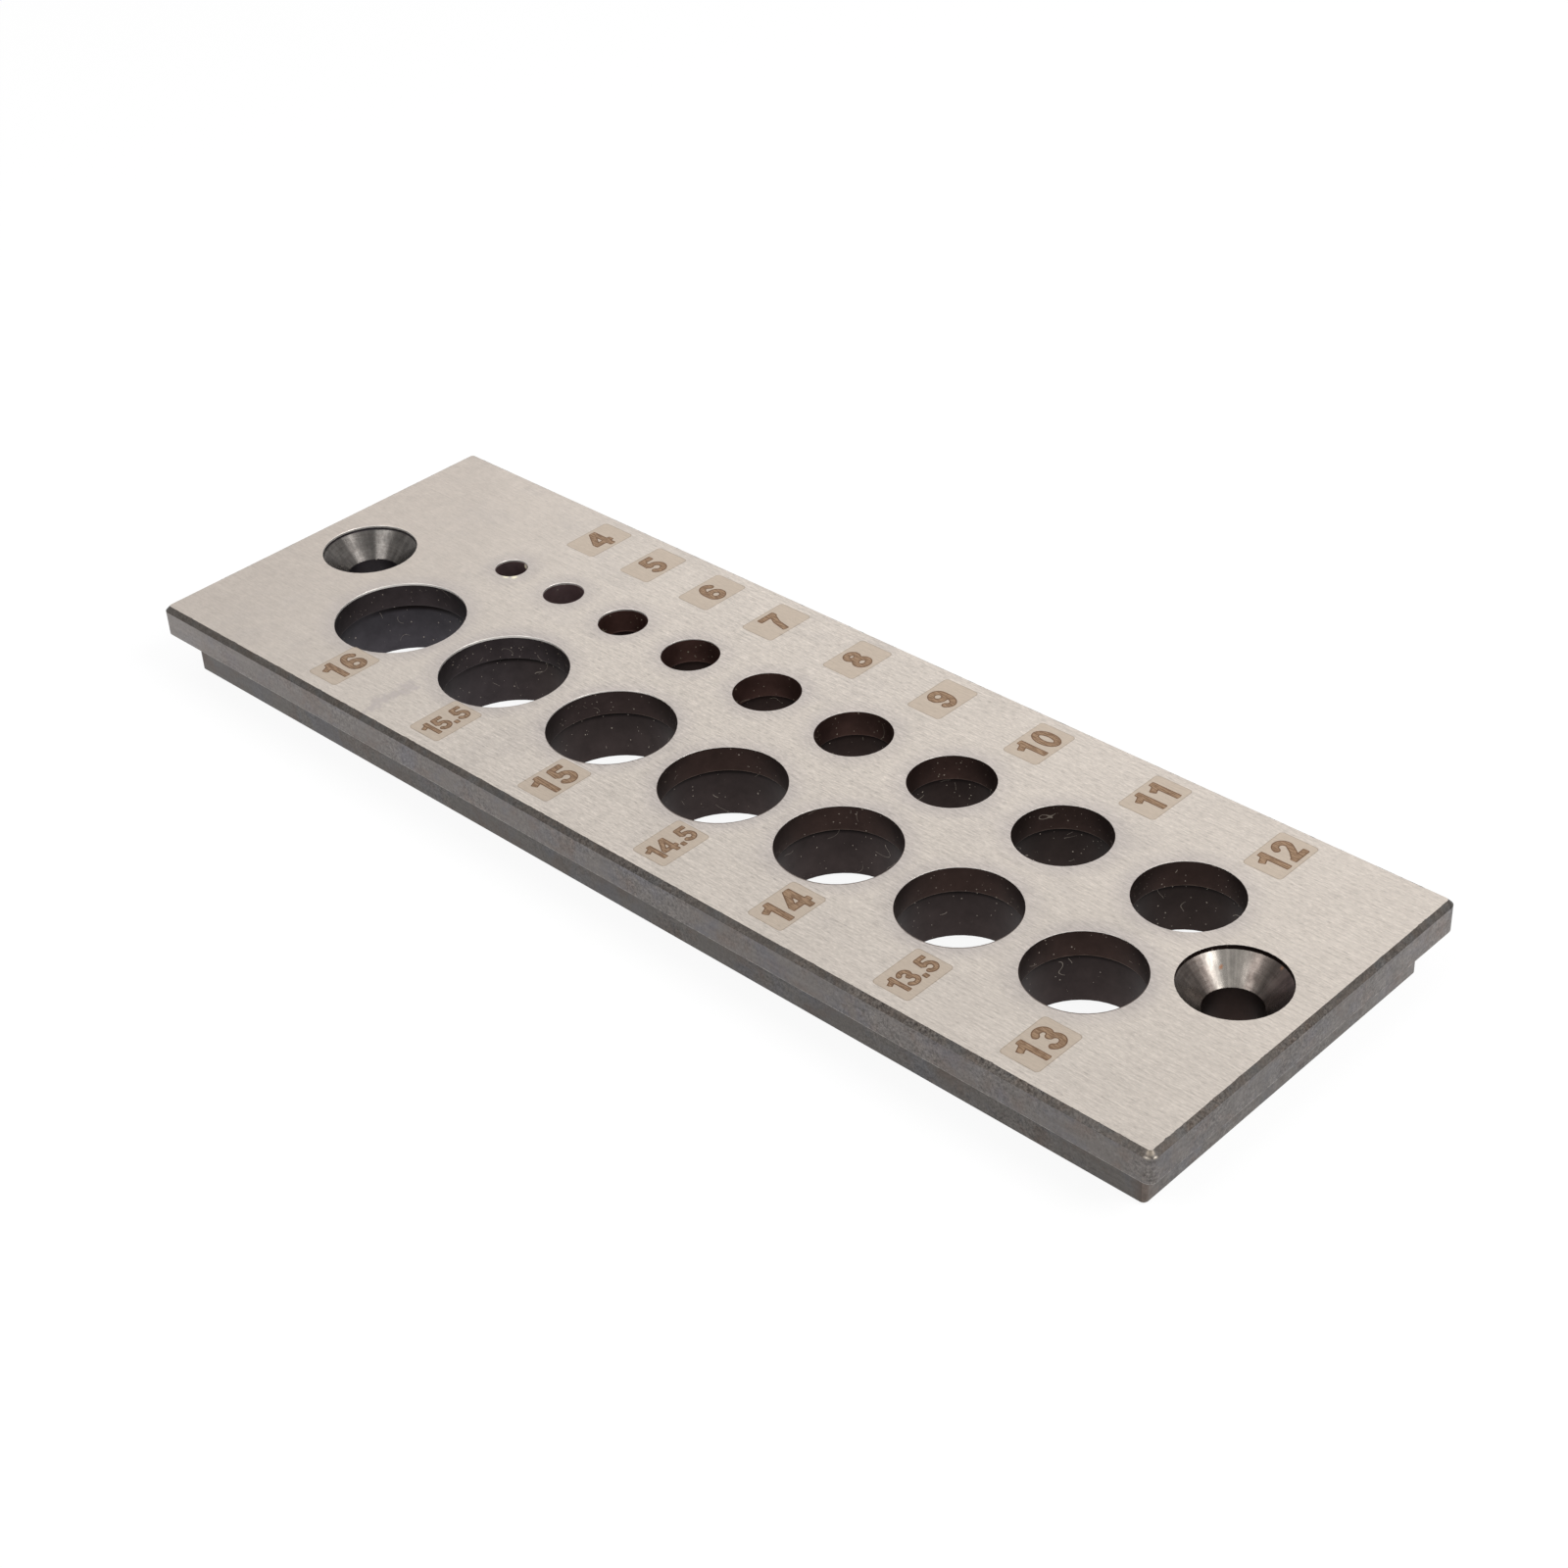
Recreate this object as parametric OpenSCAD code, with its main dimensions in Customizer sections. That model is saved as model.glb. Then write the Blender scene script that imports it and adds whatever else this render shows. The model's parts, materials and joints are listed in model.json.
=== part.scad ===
// Dowel plate: one hardened and ground steel plate with two rows of sizing
// bores. A wooden blank is driven down through a bore, whose sharp top edge
// shears it round and to size. The plate is seen as it lies on a bench:
// length along X, width along Y, top face up, origin under its centre.

/* [Plate] */
// Length of the plate
plate_length = 152.4; // [151:0.1:190]
// Width of the plate
plate_width = 50.8; // [48:0.1:70]
// Full thickness of the plate
plate_thickness = 9.5; // [7:0.1:16]
// Bevel round the top face
top_bevel = 0.6; // [0.2:0.05:0.9]

/* [Flange] */
// Thickness of the flange, which is the wider upper part
flange_thickness = 3.9; // [2:0.1:5.5]
// How far the flange stands out past the body on every side
flange_overhang = 2.45; // [0.5:0.05:4]
// Radius of the flange's upright corners
flange_corner = 1; // [0.95:0.05:3]
// Broken edge under the flange
flange_edge_break = 0.15; // [0.05:0.05:0.4]
// Radius of the body's upright corners
body_corner = 0.6; // [0.55:0.05:3]
// Bevel round the underside
bottom_bevel = 0.35; // [0.1:0.05:0.5]

/* [Front row of bores] */
// Size of the smallest bore of the front row, at its right end
front_smallest = 13; // [8:0.5:13]
// Growth from one bore of the front row to the next
front_step = 0.5; // [0.25:0.05:0.5]
// Number of bores in the front row
front_count = 7; // [2:1:7]
// Metal left between two bores of the front row
front_web = 3.1; // [1.5:0.05:3.2]

/* [Back row of bores] */
// Size of the smallest bore of the back row, at its left end
back_smallest = 4; // [3:0.5:4]
// Growth from one bore of the back row to the next
back_step = 1; // [0.5:0.05:1]
// Number of bores in the back row
back_count = 9; // [2:1:9]
// Metal left between two bores of the back row
back_web = 5.05; // [2:0.05:5.5]

/* [Both rows] */
// Distance between the centre lines of the two rows
row_spacing = 16.5; // [16:0.1:20]
// From the right end of the plate to the nearest edge of both rows
row_end_margin = 15.1; // [15:0.1:16]
// Depth of the sizing land, at the top of each bore
land_depth = 3.2; // [1.5:0.1:5]
// How much wider than its size each sizing land is bored
land_allowance = 0.1; // [0:0.01:0.3]
// How much wider than its size each bore is relieved below the land
relief_allowance = 1.1; // [0.4:0.1:1.6]
// The most that any relief may be wider than the largest size of both rows
widest_relief_allowance = 0.5; // [0.45:0.05:1.6]

/* [Screw holes] */
// From each end of the plate to the centre of its screw hole
screw_end_distance = 9.3; // [8.5:0.1:9.5]
// Diameter of the hole that takes the screw's shank
screw_hole = 6.4; // [4:0.1:7]
// Diameter of the countersink at the top face
countersink_mouth = 11.9; // [9:0.1:12.5]
// Depth of the straight wall at the mouth of the countersink
countersink_wall = 0.6; // [0.1:0.05:1.5]
// Included angle of the countersink, in degrees
countersink_angle = 90; // [82:1:100]

/* [Hidden] */
$fn = 96;

// Cuts run this far past the face that they open
cut_past = 1;

// Sizes of the bores in each row, counted from the right end of the plate
front_sizes = [for (i = [0 : front_count - 1]) front_smallest + i * front_step];
back_sizes = [for (i = [back_count - 1 : -1 : 0]) back_smallest + i * back_step];

// The widest that a relief may be, which holds back those of the largest bores
widest_relief = max(concat(front_sizes, back_sizes)) + widest_relief_allowance;

// Sum of the first i sizes of a row
function sum_of_first(sizes, i) = i == 0 ? 0 : sizes[i - 1] + sum_of_first(sizes, i - 1);

// Place of bore i of a row along the plate
function bore_x(sizes, web, i) =
    plate_length / 2 - row_end_margin - sum_of_first(sizes, i) - i * web - sizes[i] / 2;

// Outline of a plate with rounded corners
module rounded_outline(length, width, corner) {
    square([length - 2 * corner, width], center = true);
    square([length, width - 2 * corner], center = true);
    for (x = [-1, 1], y = [-1, 1]) {
        translate([x * (length / 2 - corner), y * (width / 2 - corner)])
            circle(r = corner);
    }
}

// A flat wedge-sided bar along X, which narrows by its own height on each side
module sloped_bar(length, width, height) {
    rotate([90, 0, 90])
        translate([0, 0, -length / 2])
            linear_extrude(height = length)
                polygon([
                    [-width / 2, 0],
                    [width / 2, 0],
                    [width / 2 - height, height],
                    [-width / 2 + height, height]
                ]);
}

// The bevelled rim of a rounded plate, which narrows upwards at 45 degrees
module bevelled_rim(length, width, corner, bevel) {
    sloped_bar(length - 2 * corner, width, bevel);
    rotate([0, 0, 90])
        sloped_bar(width - 2 * corner, length, bevel);
    for (x = [-1, 1], y = [-1, 1]) {
        translate([x * (length / 2 - corner), y * (width / 2 - corner), 0])
            cylinder(r1 = corner, r2 = corner - bevel, h = bevel);
    }
}

// A rounded plate of even outline, from z = low to z = high
module straight_slab(length, width, corner, low, high) {
    translate([0, 0, low])
        linear_extrude(height = high - low)
            rounded_outline(length, width, corner);
}

// The bevelled rim turned over, so that it widens upwards from z = 0
module widening_rim(length, width, corner, bevel) {
    translate([0, 0, bevel])
        mirror([0, 0, 1])
            bevelled_rim(length, width, corner, bevel);
}

// The wider upper part, with its bevelled top edge
module flange() {
    flange_base = plate_thickness - flange_thickness;
    translate([0, 0, flange_base])
        widening_rim(plate_length, plate_width, flange_corner, flange_edge_break);
    straight_slab(plate_length, plate_width, flange_corner,
        flange_base + flange_edge_break, plate_thickness - top_bevel);
    translate([0, 0, plate_thickness - top_bevel])
        bevelled_rim(plate_length, plate_width, flange_corner, top_bevel);
}

// The narrower lower part, which runs up into the flange
module body() {
    body_length = plate_length - 2 * flange_overhang;
    body_width = plate_width - 2 * flange_overhang;
    widening_rim(body_length, body_width, body_corner, bottom_bevel);
    straight_slab(body_length, body_width, body_corner,
        bottom_bevel, plate_thickness - flange_thickness / 2);
}

// One bore: the sizing land at the top, and the wider relief below it
module sizing_bore(size) {
    translate([0, 0, plate_thickness - land_depth])
        cylinder(d = size + land_allowance, h = land_depth + cut_past);
    translate([0, 0, -cut_past])
        cylinder(d = min(size + relief_allowance, widest_relief),
            h = plate_thickness - land_depth + cut_past);
}

// A row of bores on the line at y, with the same web between all neighbours
module bore_row(sizes, web, y) {
    for (i = [0 : len(sizes) - 1]) {
        translate([bore_x(sizes, web, i), y, 0])
            sizing_bore(sizes[i]);
    }
}

// A countersunk hole for a flat-headed wood screw
module screw_bore() {
    cone_depth = (countersink_mouth - screw_hole) / 2 / tan(countersink_angle / 2);
    translate([0, 0, -cut_past])
        cylinder(d = screw_hole, h = plate_thickness + cut_past);
    translate([0, 0, plate_thickness - countersink_wall - cone_depth])
        cylinder(d1 = screw_hole, d2 = countersink_mouth, h = cone_depth);
    translate([0, 0, plate_thickness - countersink_wall])
        cylinder(d = countersink_mouth, h = countersink_wall + cut_past);
}

module plate() {
    color("#c9c1b8")
        difference() {
            union() {
                flange();
                body();
            }
            bore_row(front_sizes, front_web, -row_spacing / 2);
            bore_row(back_sizes, back_web, row_spacing / 2);
            for (side = [-1, 1]) {
                translate([side * (plate_length / 2 - screw_end_distance), 0, 0])
                    screw_bore();
            }
        }
}

plate();
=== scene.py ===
import json
import math

import bmesh
import bpy
import numpy as np
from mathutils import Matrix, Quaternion, Vector


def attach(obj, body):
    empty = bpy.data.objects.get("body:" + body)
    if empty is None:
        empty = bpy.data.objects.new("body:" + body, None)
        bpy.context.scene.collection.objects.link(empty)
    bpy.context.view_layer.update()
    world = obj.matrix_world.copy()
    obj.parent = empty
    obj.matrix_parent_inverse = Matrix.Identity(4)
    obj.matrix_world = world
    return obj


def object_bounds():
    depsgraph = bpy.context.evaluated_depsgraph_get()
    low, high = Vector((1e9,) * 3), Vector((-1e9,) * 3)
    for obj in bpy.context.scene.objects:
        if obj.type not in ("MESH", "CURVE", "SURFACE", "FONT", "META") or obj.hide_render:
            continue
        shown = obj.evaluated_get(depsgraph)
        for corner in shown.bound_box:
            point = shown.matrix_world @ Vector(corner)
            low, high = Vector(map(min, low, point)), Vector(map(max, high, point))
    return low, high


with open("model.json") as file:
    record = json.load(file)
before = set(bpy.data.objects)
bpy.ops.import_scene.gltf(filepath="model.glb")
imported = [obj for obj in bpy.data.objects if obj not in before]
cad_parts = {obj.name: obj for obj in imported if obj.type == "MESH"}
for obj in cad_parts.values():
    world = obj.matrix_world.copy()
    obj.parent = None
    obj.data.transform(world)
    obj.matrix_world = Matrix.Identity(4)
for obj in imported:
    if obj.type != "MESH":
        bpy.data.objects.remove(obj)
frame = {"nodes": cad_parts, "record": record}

mm = 0.001
cadBox = [list(corner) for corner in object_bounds()]
scene = bpy.context.scene
scene.view_settings.view_transform = "Standard"

# places on the plate, in millimetres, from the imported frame
plate = frame["nodes"]["plate"]
mounts = {mount["name"]: mount for mount in frame["record"]["mounts"]}
bores = {name: mount for name, mount in mounts.items() if mount["kind"] == "bore"}
halfLength, halfWidth, topFace = [side / mm for side in cadBox[1]]
ledgeHeight = mounts["flange_ledge"]["pos_m"][2] / mm
landFoot = bores["bore_16"]["pos_m"][2] / mm - bores["bore_16"]["dims"]["length_mm"] / 2
screwPlace = mounts["screw_holes"]["dims"]["spacing_x_mm"] / 2
print("dowel plate: frame loaded")


# camera at the photo's angle, in millimetres and degrees
cameraPlan = {
    "place": (186.886, -178.266, 183.356),
    "aim": (14.694, -6.297, 9.5),
    "roll": -3.024,
    "lens": 63.541,
    "film": 36.0,
    "shift": (-0.01375, 0.018125),  # shares of the picture's width
    "clip": (10, 20000),
}


def placeCamera(plan):
    place = Vector(plan["place"]) * mm
    aim = Vector(plan["aim"]) * mm
    data = bpy.data.cameras.new("benchCamera")
    data.lens = plan["lens"]
    data.sensor_width = plan["film"]
    data.shift_x, data.shift_y = plan["shift"]
    data.clip_start, data.clip_end = [reach * mm for reach in plan["clip"]]
    camera = bpy.data.objects.new("benchCamera", data)
    scene.collection.objects.link(camera)
    camera.location = place
    camera.rotation_mode = "QUATERNION"
    look = (aim - place).to_track_quat("-Z", "Y")
    camera.rotation_quaternion = look @ Quaternion((0, 0, 1), math.radians(plan["roll"]))
    scene.camera = camera


placeCamera(cameraPlan)
print("dowel plate: camera placed")


# colours are written as they show, from 0 to 255, and turned into shares of light
def paint(red, green, blue):
    toLinear = lambda c: c / 12.92 if c <= 0.04045 else ((c + 0.055) / 1.055) ** 2.4
    return tuple(toLinear(c / 255) for c in (red, green, blue)) + (1.0,)


noiseMiddle = 0.5  # the middle level of a noise


class NodeSheet:
    gap, rows = 220, 6  # room for each node, and how many stand in a column

    def __init__(self, tree):
        self.tree = tree
        self.count = 0

    def put(self, kind, inputs=None, **settings):
        node = self.tree.nodes.new(kind)
        column, row = divmod(self.count, self.rows)
        node.location = (column * self.gap, -row * self.gap)
        self.count += 1
        for name, value in settings.items():
            setattr(node, name, value)
        for name, value in (inputs or {}).items():
            self.feed(node.inputs[name], value)
        return node

    def feed(self, socket, value):
        if isinstance(value, bpy.types.NodeSocket):
            self.tree.links.new(value, socket)
        else:
            socket.default_value = value

    def calc(self, operation, first, second=0.0):
        return self.put("ShaderNodeMath", {0: first, 1: second}, operation=operation).outputs[0]

    def chain(self, operation, values):
        result = values[0]
        for value in values[1:]:
            result = self.calc(operation, result, value)
        return result

    def both(self, *values):
        return self.chain("MULTIPLY", values)

    def total(self, *values):
        return self.chain("ADD", values)

    def most(self, *values):
        return self.chain("MAXIMUM", values)

    def above(self, value, limit):
        return self.calc("GREATER_THAN", value, limit)

    def below(self, value, limit):
        return self.calc("LESS_THAN", value, limit)

    def size(self, value):
        return self.calc("ABSOLUTE", value)

    def rest(self, value):
        return self.calc("SUBTRACT", 1.0, value)

    def ramp(self, value, low, high, outLow=0.0, outHigh=1.0):
        inputs = {"Value": value, "From Min": low, "From Max": high, "To Min": outLow, "To Max": outHigh}
        return self.put("ShaderNodeMapRange", inputs).outputs["Result"]

    def between(self, share, first, second):
        return self.ramp(share, 0.0, 1.0, first, second)

    def blend(self, share, first, second, mode="MIX"):
        node = self.put("ShaderNodeMix", data_type="RGBA", blend_type=mode)
        self.feed(node.inputs["Factor"], share)
        self.feed(node.inputs[6], first)  # the colour sockets have no names of their own
        self.feed(node.inputs[7], second)
        return node.outputs[2]

    def toned(self, colour, tone):
        grey = self.put("ShaderNodeCombineColor", {0: tone, 1: tone, 2: tone}).outputs[0]
        return self.blend(1.0, colour, grey, "MULTIPLY")

    def vector(self, operation, first, second=(0.0, 0.0, 0.0)):
        output = "Value" if operation in ("LENGTH", "DISTANCE", "DOT_PRODUCT") else "Vector"
        node = self.put("ShaderNodeVectorMath", {0: first, 1: second}, operation=operation)
        return node.outputs[output]

    def scaled(self, place, scale):
        return self.vector("MULTIPLY", place, scale)

    def split(self, value):
        return self.put("ShaderNodeSeparateXYZ", {0: value}).outputs

    def joined(self, x=0.0, y=0.0, z=0.0):
        return self.put("ShaderNodeCombineXYZ", {"X": x, "Y": y, "Z": z}).outputs[0]

    def turned(self, place, degrees, scale):
        inputs = {"Vector": place, "Rotation": (0, 0, math.radians(degrees)), "Scale": scale}
        return self.put("ShaderNodeMapping", inputs).outputs[0]

    def noise(self, place, scale, detail=2.0, roughness=0.5, distortion=0.0):
        inputs = {"Vector": place, "Scale": scale, "Detail": detail,
                  "Roughness": roughness, "Distortion": distortion}
        return self.put("ShaderNodeTexNoise", inputs).outputs["Fac"]

    def centred(self, place, noise):
        return self.total(self.noise(place, *noise), -noiseMiddle)

    def patches(self, place, noise, ramp):
        return self.ramp(self.noise(place, *noise), *ramp)

    def group(self, tree, inputs):
        return self.put("ShaderNodeGroup", inputs, node_tree=tree).outputs


def newGroup(name, inputs, outputs):
    kinds = {"value": "NodeSocketFloat", "colour": "NodeSocketColor", "vector": "NodeSocketVector"}
    tree = bpy.data.node_groups.new(name, "ShaderNodeTree")
    for label, kind, start in inputs:
        socket = tree.interface.new_socket(name=label, in_out="INPUT", socket_type=kinds[kind])
        if start is not None:
            socket.default_value = start
    for label, kind in outputs:
        tree.interface.new_socket(name=label, in_out="OUTPUT", socket_type=kinds[kind])
    sheet = NodeSheet(tree)
    return tree, sheet, sheet.put("NodeGroupInput").outputs, sheet.put("NodeGroupOutput").inputs


# From here on a noise is its scale, detail, roughness and distortion. A ramp is two
# values that go in, then the two that come out, which are 0 and 1 where not given.
# Patches are a noise and its ramp.

# fine short lines along X, left by the surface grinder
grindPlan = {
    "length": 850.0,
    "fineness": 4600.0,
    "lineNoise": (1.0, 3.0, 0.6),
    "otherNoise": (1.0, 2.0, 0.6),
    "shortScale": (2.4, 1.6, 1.0),
    "longScale": (0.17, 0.6, 1.0),
    "lineShare": 0.45,
    "shortShare": 0.3,
    "longShare": 0.25,
    "brightDash": (0.62, 0.74),
    "darkDash": (0.38, 0.27),
    "dashShare": 0.1,
    "scratchTurn": -9,  # degrees
    "scratchScale": (110.0, 5200.0, 1.0),
    "scratches": ((1.0, 1.0, 0.5), (0.7, 0.78)),
    "scratchShare": 0.1,
}


def grindGroup(plan):
    tree, sheet, given, out = newGroup(
        "grindLines",
        [("Place", "vector", None), ("Length", "value", plan["length"]),
         ("Fineness", "value", plan["fineness"]), ("Contrast", "value", 1.0)],
        [("Tone", "value"), ("Height", "value")])
    lines = sheet.scaled(given["Place"], sheet.joined(given["Length"], given["Fineness"], 1.0))
    middle = sheet.noise(lines, *plan["lineNoise"])
    short = sheet.noise(sheet.scaled(lines, plan["shortScale"]), *plan["otherNoise"])
    long = sheet.noise(sheet.scaled(lines, plan["longScale"]), *plan["otherNoise"])
    mixed = sheet.total(sheet.both(middle, plan["lineShare"]), sheet.both(short, plan["shortShare"]),
                        sheet.both(long, plan["longShare"]))
    dashes = sheet.calc("SUBTRACT", sheet.ramp(short, *plan["brightDash"]),
                        sheet.ramp(middle, *plan["darkDash"]))
    turned = sheet.turned(given["Place"], plan["scratchTurn"], plan["scratchScale"])
    scratches = sheet.patches(turned, *plan["scratches"])
    wave = sheet.total(mixed, sheet.both(dashes, plan["dashShare"]),
                       sheet.both(scratches, plan["scratchShare"]), -noiseMiddle)
    sheet.feed(out["Tone"], sheet.total(sheet.both(wave, given["Contrast"]), 1.0))
    sheet.feed(out["Height"], mixed)
    return tree


# brown and blue heat-treatment blotches with grit over them
blotchPlan = {
    "size": 3.0,  # millimetres
    "amount": 0.5,
    "grit": 0.5,
    "brownNoise": (4.0, 0.6, 0.4),
    "brownRamp": (0.48, 0.68),
    "blueShift": (0.31, 0.17, 0.07),
    "blueScale": 0.7,
    "blueNoise": (3.0, 0.6, 0.3),
    "blueRamp": (0.48, 0.66),
    "gritty": ((140.0, 2.0, 0.5), (0.4, 0.62, 0.45, 1.5)),
    "fineNoise": (3600.0, 3.0, 0.75),
    "drawnScale": (130.0, 130.0, 2400.0),
    "drawnNoise": (1.0, 3.0, 0.6),
    "drawnShare": 0.45,
}


def blotchGroup(plan):
    tree, sheet, given, out = newGroup(
        "oxideBlotches",
        [("Place", "vector", None), ("Size", "value", plan["size"]), ("Base", "colour", None),
         ("Brown", "colour", None), ("Blue", "colour", None), ("Amount", "value", plan["amount"]),
         ("Grit", "value", plan["grit"])],
        [("Colour", "colour"), ("Height", "value")])
    place, amount = given["Place"], given["Amount"]
    scale = sheet.calc("DIVIDE", 1.0 / mm, given["Size"])
    brown = sheet.patches(place, (scale, *plan["brownNoise"]), plan["brownRamp"])
    moved = sheet.vector("ADD", place, plan["blueShift"])
    blueScale = sheet.both(scale, plan["blueScale"])
    blue = sheet.patches(moved, (blueScale, *plan["blueNoise"]), plan["blueRamp"])
    colour = sheet.blend(sheet.both(brown, amount), given["Base"], given["Brown"])
    colour = sheet.blend(sheet.both(blue, amount), colour, given["Blue"])
    gritty = sheet.patches(moved, *plan["gritty"])
    fine = sheet.noise(place, *plan["fineNoise"])
    drawn = sheet.noise(sheet.scaled(place, plan["drawnScale"]), *plan["drawnNoise"])
    share = plan["drawnShare"]
    wave = sheet.total(sheet.both(sheet.total(fine, -noiseMiddle), given["Grit"], gritty),
                       sheet.both(drawn, share), -share * noiseMiddle)
    sheet.feed(out["Colour"], sheet.toned(colour, sheet.total(wave, 1.0)))
    sheet.feed(out["Height"], fine)
    return tree


# wood dust in the bores: round specks and short curled hairs
dustPlan = {
    "spacing": 0.8,  # millimetres
    "radius": 0.06,
    "share": 0.95,
    "reachSpread": (0.4, 1.4),
    "toneSpread": (0.3, 1),
    "crowdNoise": (170.0, 1.0, 0.5),
    "crowdRamp": (0.4, 0.62),
    "hairNoise": (230.0, 1.0, 0.5),
    "hairWidth": 0.0032,
    "hairPlaceNoise": (400.0, 0.0),
    "hairPlaces": 0.7,
    "hairTone": 0.4,
}


def dustGroup(plan):
    tree, sheet, given, out = newGroup(
        "woodDust",
        [("Place", "vector", None), ("Spacing", "value", plan["spacing"]),
         ("Radius", "value", plan["radius"]), ("Share", "value", plan["share"]), ("Least", "value", 0.0)],
        [("Mask", "value")])
    place = given["Place"]
    scale = sheet.calc("DIVIDE", 1.0 / mm, given["Spacing"])
    cell = sheet.put("ShaderNodeTexVoronoi", {"Vector": place, "Scale": scale}).outputs
    chance = sheet.split(cell["Color"])
    reach = sheet.both(sheet.calc("DIVIDE", given["Radius"], given["Spacing"]),
                       sheet.between(chance[1], *plan["reachSpread"]))
    crowdRamp = (*plan["crowdRamp"], given["Least"], 1.0)
    crowd = sheet.patches(place, plan["crowdNoise"], crowdRamp)
    speck = sheet.both(sheet.below(cell["Distance"], reach),
                       sheet.below(chance[0], sheet.both(crowd, given["Share"])))
    speck = sheet.both(speck, sheet.between(chance[2], *plan["toneSpread"]))
    thin = sheet.below(sheet.size(sheet.centred(place, plan["hairNoise"])), plan["hairWidth"])
    patch = sheet.above(sheet.noise(place, *plan["hairPlaceNoise"]), plan["hairPlaces"])
    hair = sheet.both(thin, patch, plan["hairTone"])
    sheet.feed(out["Mask"], sheet.most(speck, hair))
    return tree


# which part of the plate a point belongs to, told by its place and the way it faces
zonePlan = {
    "endStrip": 3.1,  # the outside reaches this far in from each end, in millimetres
    "sideStrip": 5.4,
    "lip": 0.22,  # height of the worn line along the flange's lower edge
    "foot": 1.0,  # faces that look down below this height are the underside
    "slanting": 0.3,  # bevels and cones look up between this much
    "flat": 0.9,  # and this much
    "endward": 0.35,
}


def zoneGroup(plan):
    names = ("Top", "Bevel", "Flange", "Body", "Wall", "Land", "Cone", "Lip", "Underside", "RightEnd")
    tree, sheet, given, out = newGroup(
        "plateZones", [("Place", "vector", None), ("Facing", "vector", None)],
        [(name, "value") for name in names])
    along, deep, height = sheet.split(given["Place"])[:3]
    facing = sheet.split(given["Facing"])
    up = facing[2]
    farX = sheet.above(sheet.size(along), (halfLength - plan["endStrip"]) * mm)
    farY = sheet.above(sheet.size(deep), (halfWidth - plan["sideStrip"]) * mm)
    outside = sheet.most(farX, farY)
    inside = sheet.rest(outside)
    slanted = sheet.both(sheet.above(up, plan["slanting"]), sheet.below(up, plan["flat"]))
    high = sheet.above(height, ledgeHeight * mm)
    underside = sheet.both(sheet.below(up, -plan["flat"]), sheet.below(height, plan["foot"] * mm))
    side = sheet.both(sheet.below(up, plan["slanting"]), sheet.rest(underside))
    wall = sheet.both(side, inside)
    lip = sheet.both(high, sheet.below(height, (ledgeHeight + plan["lip"]) * mm))
    sheet.feed(out["Top"], sheet.above(up, plan["flat"]))
    sheet.feed(out["Bevel"], sheet.both(slanted, outside))
    sheet.feed(out["Cone"], sheet.both(slanted, inside))
    sheet.feed(out["Flange"], sheet.both(side, outside, high))
    sheet.feed(out["Body"], sheet.both(side, outside, sheet.rest(high)))
    sheet.feed(out["Wall"], wall)
    sheet.feed(out["Land"], sheet.both(wall, sheet.above(height, landFoot * mm)))
    sheet.feed(out["Lip"], sheet.both(outside, lip))
    sheet.feed(out["Underside"], underside)
    sheet.feed(out["RightEnd"], sheet.above(facing[0], plan["endward"]))
    return tree


# edges rounded in the shading, as a stone leaves them
edgePlan = {"radius": 0.1, "samples": 6}


def edgeGroup(plan):
    tree, sheet, given, out = newGroup(
        "softEdges", [("Radius", "value", plan["radius"])], [("Normal", "vector")])
    radius = sheet.both(given["Radius"], mm)
    rounded = sheet.put("ShaderNodeBevel", {"Radius": radius}, samples=plan["samples"])
    sheet.feed(out["Normal"], rounded.outputs[0])
    return tree


# how near a point of the top face is to the rim of a bore: 1 at the rim, 0 at the reach
haloPlan = {
    "reach": 2.4,  # millimetres
    "farthest": 1000,
}


def haloGroup(plan):
    tree, sheet, given, out = newGroup(
        "boreHalos", [("Place", "vector", None), ("Reach", "value", plan["reach"])], [("Mask", "value")])
    onFace = sheet.scaled(given["Place"], (1.0, 1.0, 0.0))
    nearest = plan["farthest"] * mm
    for bore in bores.values():
        gap = sheet.vector("DISTANCE", onFace, (*bore["pos_m"][:2], 0.0))
        nearest = sheet.calc("MINIMUM", sheet.total(gap, -bore["dims"]["r_mm"] * mm), nearest)
    share = sheet.calc("DIVIDE", nearest, sheet.both(given["Reach"], mm))
    sheet.feed(out["Mask"], sheet.ramp(share, 1.0, 0.0))
    return tree


# turning marks round the two countersinks
ringPlan = {
    "pitch": 0.16,  # millimetres
    "chatter": 8.0,
    "lineNoise": (1.0, 2.0, 0.7),
    "brokenScale": (380.0, 380.0, 0.0),
    "toneNoise": (1.0, 3.0, 0.6),
    "chatterNoise": (3.0, 0.6),
    "sector": (0.875, 0.988),
}


def ringGroup(plan):
    tree, sheet, given, out = newGroup(
        "turnedRings",
        [("Place", "vector", None), ("Pitch", "value", plan["pitch"]),
         ("Chatter", "value", plan["chatter"]), ("Toward", "vector", None)],
        [("Height", "value"), ("Tone", "value"), ("Chatter", "value"), ("Sector", "value")])
    place = given["Place"]
    spot = sheet.split(place)
    nearSide = sheet.both(sheet.calc("SIGN", spot[0]), screwPlace * mm)
    middle = sheet.joined(nearSide, 0.0, spot[2])
    turns = sheet.calc("DIVIDE", sheet.vector("DISTANCE", place, middle), sheet.both(given["Pitch"], mm))
    line = sheet.joined(turns)
    broken = sheet.vector("ADD", sheet.scaled(place, plan["brokenScale"]), line)
    outward = sheet.vector("NORMALIZE", sheet.vector("SUBTRACT", place, middle))
    toward = sheet.vector("DOT_PRODUCT", outward, given["Toward"])
    sheet.feed(out["Height"], sheet.noise(line, *plan["lineNoise"]))
    sheet.feed(out["Tone"], sheet.noise(broken, *plan["toneNoise"]))
    sheet.feed(out["Chatter"], sheet.noise(outward, given["Chatter"], *plan["chatterNoise"]))
    sheet.feed(out["Sector"], sheet.ramp(toward, *plan["sector"]))
    return tree


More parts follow.
